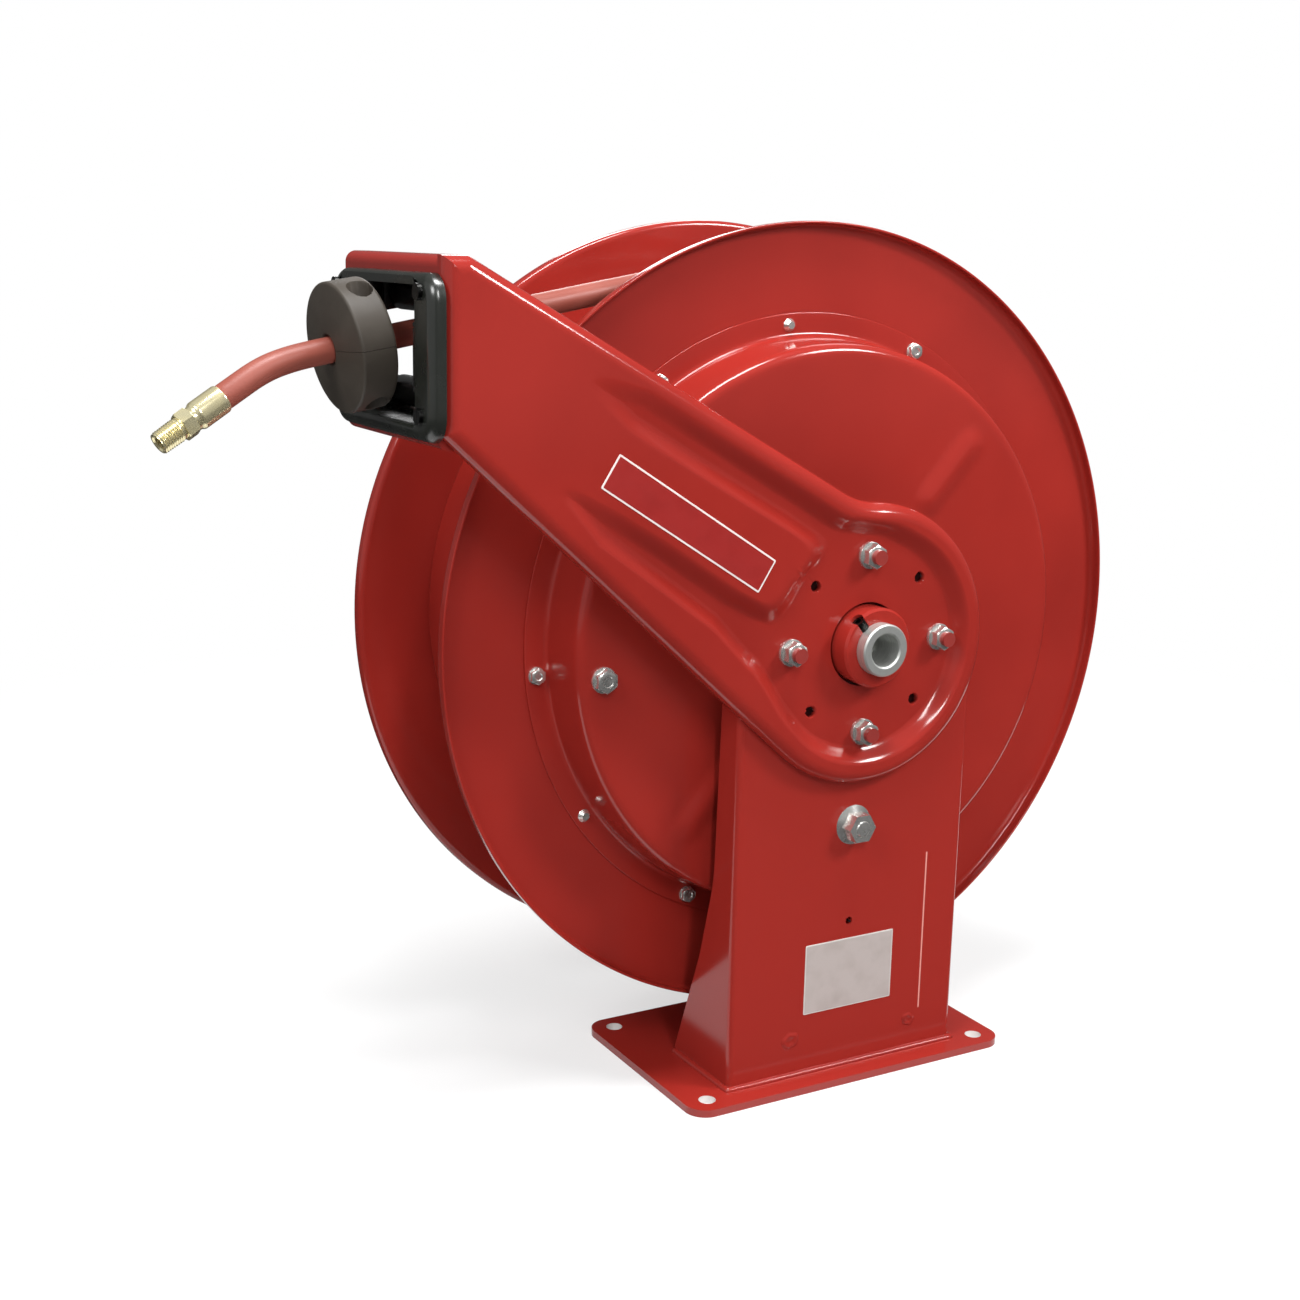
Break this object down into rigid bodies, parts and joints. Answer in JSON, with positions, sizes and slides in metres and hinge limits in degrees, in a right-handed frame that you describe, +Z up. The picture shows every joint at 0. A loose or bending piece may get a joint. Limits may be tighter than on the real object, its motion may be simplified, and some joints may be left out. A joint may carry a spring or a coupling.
{
  "type": "spring driven hose reel",
  "caption": "Pedestal hose reel: spring driven drum between sheet discs, pressed guide arm with a roller mouth, hose with rubber stop and threaded male end.",
  "frame": {"origin": "centre of the four floor bolt holes, on the underside of the base plate", "axes": "+X along the base, away from the guide arm; +Y along the drum's shaft, from the water inlet to the rear disc; +Z up"},
  "size_m": [0.691, 0.2515, 0.5525],
  "materials": {
    "red_paint": "glossy red powder coat",
    "zinc": "bright zinc plate",
    "shaft_steel": "turned and plated steel",
    "guide_plastic": "black moulded nylon",
    "roller_plastic": "dark moulded nylon, polished by the hose",
    "hose_rubber": "dull red rubber cover",
    "stop_rubber": "dark grey moulded rubber",
    "brass": "machined brass",
    "bronze": "sintered bronze",
    "spring_steel": "blued spring steel",
    "seal_rubber": "black nitrile"
  },
  "bodies": {
    "frame": {"base_plate": "red_paint", "post": "red_paint", "post_ribs": "red_paint", "shaft_hub": "red_paint", "shaft_screw": "shaft_steel", "main_shaft": "shaft_steel", "hub_studs": "zinc", "hub_nuts": "zinc", "guide_arm": "red_paint", "arm_flange": "red_paint", "roller_frame": "guide_plastic", "roller_pins": "zinc", "frame_screws": "zinc", "frame_nuts": "zinc", "pawl_pivot": "zinc", "pivot_nut": "zinc", "pawl_clip": "spring_steel", "pawl_spring": "spring_steel", "spring_arbor": "shaft_steel", "thrust_washers": "guide_plastic", "retaining_ring": "spring_steel", "hose_run": "hose_rubber"},
    "drum": {"front_disc": "red_paint", "rear_disc": "red_paint", "drum_core": "red_paint", "spring_case": "red_paint", "case_bolts": "zinc", "case_screws": "zinc", "case_nuts": "zinc", "rear_bolts": "zinc", "rear_nuts": "zinc", "drum_front_hub": "shaft_steel", "bush_front": "bronze", "drum_rear_hub": "red_paint", "bush_rear": "bronze", "rear_hub_bolts": "zinc", "rear_hub_nuts": "zinc", "ratchet": "zinc", "ratchet_screws": "zinc", "anchor_bolt": "zinc", "power_spring": "spring_steel", "swivel_body": "brass", "swivel_seals": "seal_rubber", "riser_pipe": "brass", "hose_winding": "hose_rubber"},
    "pawl": {"latch_pawl": "zinc"},
    "front_roller": {"roller_front": "roller_plastic"},
    "rear_roller": {"roller_rear": "roller_plastic"},
    "top_roller": {"roller_top": "roller_plastic"},
    "bottom_roller": {"roller_bottom": "roller_plastic"},
    "hose_end": {"stop_upper": "stop_rubber", "stop_lower": "stop_rubber", "stop_screws": "zinc", "hose_tail": "hose_rubber", "ferrule": "brass", "hose_fitting": "brass"}
  },
  "joints": [
    {"name": "drum_spin", "type": "hinge", "parent": "frame", "child": "drum", "pos_m": [0, 0, 0.2925], "axis": [0, -1, 0], "range_deg": [0, 450], "stiffness_Nm_per_rad": 0.08, "springref_deg": -2291.83, "deforming": ["power_spring"]},
    {"name": "hose_pull", "type": "slide", "parent": "frame", "child": "hose_end", "axis": [-0.968, -0.196, -0.1567], "range_m": [0, 1.83588], "deforming": ["hose_run"]},
    {"name": "latch_swing", "type": "hinge", "parent": "frame", "child": "pawl", "pos_m": [0, -0.0345, 0.172], "axis": [0, 1, 0], "range_deg": [0, 68], "deforming": ["pawl_spring"]},
    {"name": "front_roller_spin", "type": "hinge", "parent": "frame", "child": "front_roller", "pos_m": [-0.284, -0.0345, 0.4765], "axis": [0, 0, 1], "continuous": true},
    {"name": "rear_roller_spin", "type": "hinge", "parent": "frame", "child": "rear_roller", "pos_m": [-0.284, 0.0495, 0.4765], "axis": [0, 0, 1], "continuous": true},
    {"name": "top_roller_spin", "type": "hinge", "parent": "frame", "child": "top_roller", "pos_m": [-0.262, 0.0075, 0.5045], "axis": [0, 1, 0], "continuous": true},
    {"name": "bottom_roller_spin", "type": "hinge", "parent": "frame", "child": "bottom_roller", "pos_m": [-0.262, 0.0075, 0.4485], "axis": [0, 1, 0], "continuous": true}
  ],
  "couplings": [
    {"joint": "hose_pull", "follows": "drum_spin", "m_per_rad": 0.23375}
  ]
}
